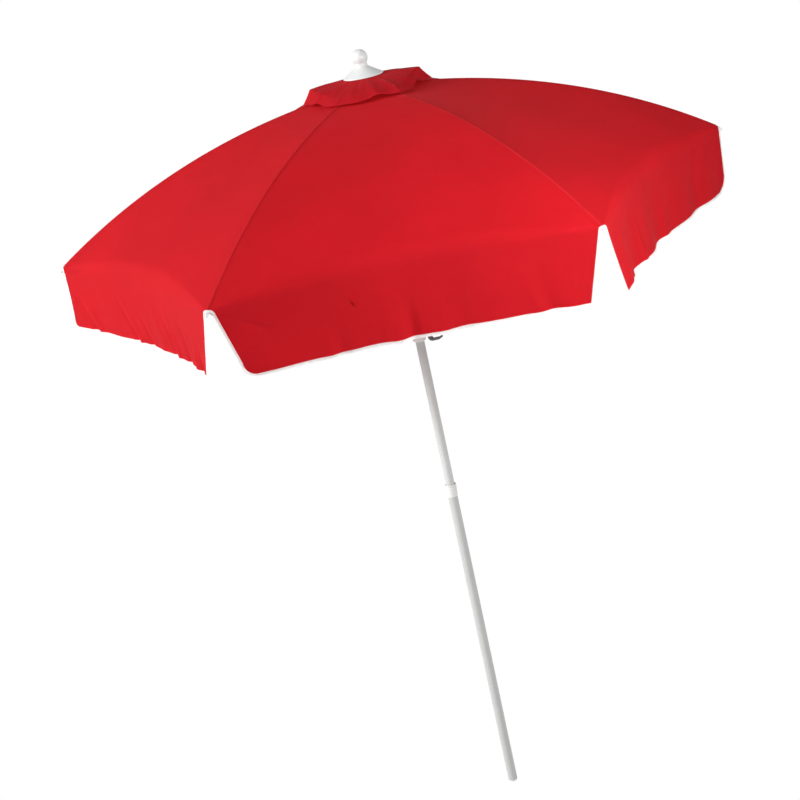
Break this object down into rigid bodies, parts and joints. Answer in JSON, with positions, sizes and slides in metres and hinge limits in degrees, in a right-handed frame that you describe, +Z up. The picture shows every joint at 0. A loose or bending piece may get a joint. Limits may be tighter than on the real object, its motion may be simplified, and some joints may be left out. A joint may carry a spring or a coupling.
{
  "type": "patio umbrella",
  "caption": "Two-piece pole garden parasol with a folding rib frame, sliding runner, panelled cloth canopy with vent cap, hanging valance and ball finial.",
  "frame": {"origin": "centre of the pole's bottom end", "axes": "+Z up the pole, +X along the first rib, towards its tip"},
  "size_m": [1.8394, 1.594, 2.2749],
  "materials": {
    "pole_paint": "smooth light grey-white powder coat",
    "white_plastic": "moulded, satin",
    "frame_plastic": "moulded, satin",
    "dark_plastic": "moulded, fine texture",
    "frame_steel": "white-coated steel",
    "red_cloth": "plain-weave polyester",
    "white_tape": "woven binding tape"
  },
  "bodies": {
    "lower_pole": {"lower_tube": "pole_paint", "foot_plug": "white_plastic", "stop_ring": "frame_plastic"},
    "collar": {"collar": "white_plastic"},
    "upper_pole": {"upper_tube": "pole_paint", "upper_tube_bush": "frame_plastic", "hub": "frame_plastic", "hub_pins": "frame_steel", "vent_spacer": "frame_plastic", "finial_stud": "frame_steel", "finial": "white_plastic", "vent_cap": "red_cloth"},
    "runner": {"runner": "frame_plastic", "lever_pin": "frame_steel"},
    "release_lever": {"release_lever": "dark_plastic"},
    "rib_arm_1": {"rib_1": "frame_steel", "rib_tip_1": "white_plastic", "rib_bracket_1": "frame_steel", "canopy_gore_1": "red_cloth"},
    "valance_drop_1": {"valance_1": "red_cloth", "valance_binding_1": "white_tape"},
    "stretcher_arm_1": {"stretcher_1": "frame_steel"},
    "rib_arm_2": {"rib_2": "frame_steel", "rib_tip_2": "white_plastic", "rib_bracket_2": "frame_steel", "canopy_gore_2": "red_cloth"},
    "valance_drop_2": {"valance_2": "red_cloth", "valance_binding_2": "white_tape"},
    "stretcher_arm_2": {"stretcher_2": "frame_steel"},
    "rib_arm_3": {"rib_3": "frame_steel", "rib_tip_3": "white_plastic", "rib_bracket_3": "frame_steel", "canopy_gore_3": "red_cloth"},
    "valance_drop_3": {"valance_3": "red_cloth", "valance_binding_3": "white_tape"},
    "stretcher_arm_3": {"stretcher_3": "frame_steel"},
    "rib_arm_4": {"rib_4": "frame_steel", "rib_tip_4": "white_plastic", "rib_bracket_4": "frame_steel", "canopy_gore_4": "red_cloth"},
    "valance_drop_4": {"valance_4": "red_cloth", "valance_binding_4": "white_tape"},
    "stretcher_arm_4": {"stretcher_4": "frame_steel"},
    "rib_arm_5": {"rib_5": "frame_steel", "rib_tip_5": "white_plastic", "rib_bracket_5": "frame_steel", "canopy_gore_5": "red_cloth"},
    "valance_drop_5": {"valance_5": "red_cloth", "valance_binding_5": "white_tape"},
    "stretcher_arm_5": {"stretcher_5": "frame_steel"},
    "rib_arm_6": {"rib_6": "frame_steel", "rib_tip_6": "white_plastic", "rib_bracket_6": "frame_steel", "canopy_gore_6": "red_cloth"},
    "valance_drop_6": {"valance_6": "red_cloth", "valance_binding_6": "white_tape"},
    "stretcher_arm_6": {"stretcher_6": "frame_steel"}
  },
  "joints": [
    {"name": "collar_twist", "type": "hinge", "parent": "lower_pole", "child": "collar", "pos_m": [0, 0, 0.99], "axis": [0, 0, 1], "range_deg": [0, 90]},
    {"name": "pole_extend", "type": "slide", "parent": "lower_pole", "child": "upper_pole", "axis": [0, 0, 1], "range_m": [0, 0.2]},
    {"name": "runner_slide", "type": "slide", "parent": "upper_pole", "child": "runner", "axis": [0, 0, 1], "range_m": [-0.40297, 0]},
    {"name": "lever_press", "type": "hinge", "parent": "runner", "child": "release_lever", "pos_m": [0.02338, -0.0135, 1.51], "axis": [0.5, 0.866, 0], "range_deg": [0, 8], "stiffness_Nm_per_rad": 0.5, "springref_deg": -5.73},
    {"name": "rib_1_fold", "type": "hinge", "parent": "upper_pole", "child": "rib_arm_1", "pos_m": [0.03, 0, 2.16802], "axis": [0, 1, 0], "range_deg": [0, 68], "deforming": ["canopy_gore_1", "valance_1", "valance_binding_1", "vent_cap"]},
    {"name": "stretcher_1_fold", "type": "hinge", "parent": "rib_arm_1", "child": "stretcher_arm_1", "pos_m": [0.39952, 0, 2.09399], "axis": [0, 1, 0], "range_deg": [-95.29, 0]},
    {"name": "valance_1_hang", "type": "hinge", "parent": "rib_arm_1", "child": "valance_drop_1", "pos_m": [0.914, 0, 1.869], "axis": [0, 1, 0], "range_deg": [-68, 0]},
    {"name": "rib_2_fold", "type": "hinge", "parent": "upper_pole", "child": "rib_arm_2", "pos_m": [0.015, 0.02598, 2.16802], "axis": [-0.866, 0.5, 0], "range_deg": [0, 68], "deforming": ["canopy_gore_2", "valance_2", "valance_binding_2"]},
    {"name": "stretcher_2_fold", "type": "hinge", "parent": "rib_arm_2", "child": "stretcher_arm_2", "pos_m": [0.19976, 0.34599, 2.09399], "axis": [-0.866, 0.5, 0], "range_deg": [-95.29, 0]},
    {"name": "valance_2_hang", "type": "hinge", "parent": "rib_arm_2", "child": "valance_drop_2", "pos_m": [0.457, 0.79155, 1.869], "axis": [-0.866, 0.5, 0], "range_deg": [-68, 0]},
    {"name": "rib_3_fold", "type": "hinge", "parent": "upper_pole", "child": "rib_arm_3", "pos_m": [-0.015, 0.02598, 2.16802], "axis": [-0.866, -0.5, 0], "range_deg": [0, 68], "deforming": ["canopy_gore_3", "valance_3", "valance_binding_3"]},
    {"name": "stretcher_3_fold", "type": "hinge", "parent": "rib_arm_3", "child": "stretcher_arm_3", "pos_m": [-0.19976, 0.34599, 2.09399], "axis": [-0.866, -0.5, 0], "range_deg": [-95.29, 0]},
    {"name": "valance_3_hang", "type": "hinge", "parent": "rib_arm_3", "child": "valance_drop_3", "pos_m": [-0.457, 0.79155, 1.869], "axis": [-0.866, -0.5, 0], "range_deg": [-68, 0]},
    {"name": "rib_4_fold", "type": "hinge", "parent": "upper_pole", "child": "rib_arm_4", "pos_m": [-0.03, 0, 2.16802], "axis": [0, -1, 0], "range_deg": [0, 68], "deforming": ["canopy_gore_4", "valance_4", "valance_binding_4"]},
    {"name": "stretcher_4_fold", "type": "hinge", "parent": "rib_arm_4", "child": "stretcher_arm_4", "pos_m": [-0.39952, 0, 2.09399], "axis": [0, -1, 0], "range_deg": [-95.29, 0]},
    {"name": "valance_4_hang", "type": "hinge", "parent": "rib_arm_4", "child": "valance_drop_4", "pos_m": [-0.914, 0, 1.869], "axis": [0, -1, 0], "range_deg": [-68, 0]},
    {"name": "rib_5_fold", "type": "hinge", "parent": "upper_pole", "child": "rib_arm_5", "pos_m": [-0.015, -0.02598, 2.16802], "axis": [0.866, -0.5, 0], "range_deg": [0, 68], "deforming": ["canopy_gore_5", "valance_5", "valance_binding_5"]},
    {"name": "stretcher_5_fold", "type": "hinge", "parent": "rib_arm_5", "child": "stretcher_arm_5", "pos_m": [-0.19976, -0.34599, 2.09399], "axis": [0.866, -0.5, 0], "range_deg": [-95.29, 0]},
    {"name": "valance_5_hang", "type": "hinge", "parent": "rib_arm_5", "child": "valance_drop_5", "pos_m": [-0.457, -0.79155, 1.869], "axis": [0.866, -0.5, 0], "range_deg": [-68, 0]},
    {"name": "rib_6_fold", "type": "hinge", "parent": "upper_pole", "child": "rib_arm_6", "pos_m": [0.015, -0.02598, 2.16802], "axis": [0.866, 0.5, 0], "range_deg": [0, 68], "deforming": ["canopy_gore_6", "valance_6", "valance_binding_6"]},
    {"name": "stretcher_6_fold", "type": "hinge", "parent": "rib_arm_6", "child": "stretcher_arm_6", "pos_m": [0.19976, -0.34599, 2.09399], "axis": [0.866, 0.5, 0], "range_deg": [-95.29, 0]},
    {"name": "valance_6_hang", "type": "hinge", "parent": "rib_arm_6", "child": "valance_drop_6", "pos_m": [0.457, -0.79155, 1.869], "axis": [0.866, 0.5, 0], "range_deg": [-68, 0]}
  ],
  "couplings": [
    {"joint": "rib_1_fold", "follows": "runner_slide", "rad_per_m": -2.9452},
    {"joint": "stretcher_1_fold", "follows": "runner_slide", "rad_per_m": 4.1273},
    {"joint": "valance_1_hang", "follows": "runner_slide", "rad_per_m": 2.9452},
    {"joint": "rib_2_fold", "follows": "runner_slide", "rad_per_m": -2.9452},
    {"joint": "stretcher_2_fold", "follows": "runner_slide", "rad_per_m": 4.1273},
    {"joint": "valance_2_hang", "follows": "runner_slide", "rad_per_m": 2.9452},
    {"joint": "rib_3_fold", "follows": "runner_slide", "rad_per_m": -2.9452},
    {"joint": "stretcher_3_fold", "follows": "runner_slide", "rad_per_m": 4.1273},
    {"joint": "valance_3_hang", "follows": "runner_slide", "rad_per_m": 2.9452},
    {"joint": "rib_4_fold", "follows": "runner_slide", "rad_per_m": -2.9452},
    {"joint": "stretcher_4_fold", "follows": "runner_slide", "rad_per_m": 4.1273},
    {"joint": "valance_4_hang", "follows": "runner_slide", "rad_per_m": 2.9452},
    {"joint": "rib_5_fold", "follows": "runner_slide", "rad_per_m": -2.9452},
    {"joint": "stretcher_5_fold", "follows": "runner_slide", "rad_per_m": 4.1273},
    {"joint": "valance_5_hang", "follows": "runner_slide", "rad_per_m": 2.9452},
    {"joint": "rib_6_fold", "follows": "runner_slide", "rad_per_m": -2.9452},
    {"joint": "stretcher_6_fold", "follows": "runner_slide", "rad_per_m": 4.1273},
    {"joint": "valance_6_hang", "follows": "runner_slide", "rad_per_m": 2.9452}
  ]
}
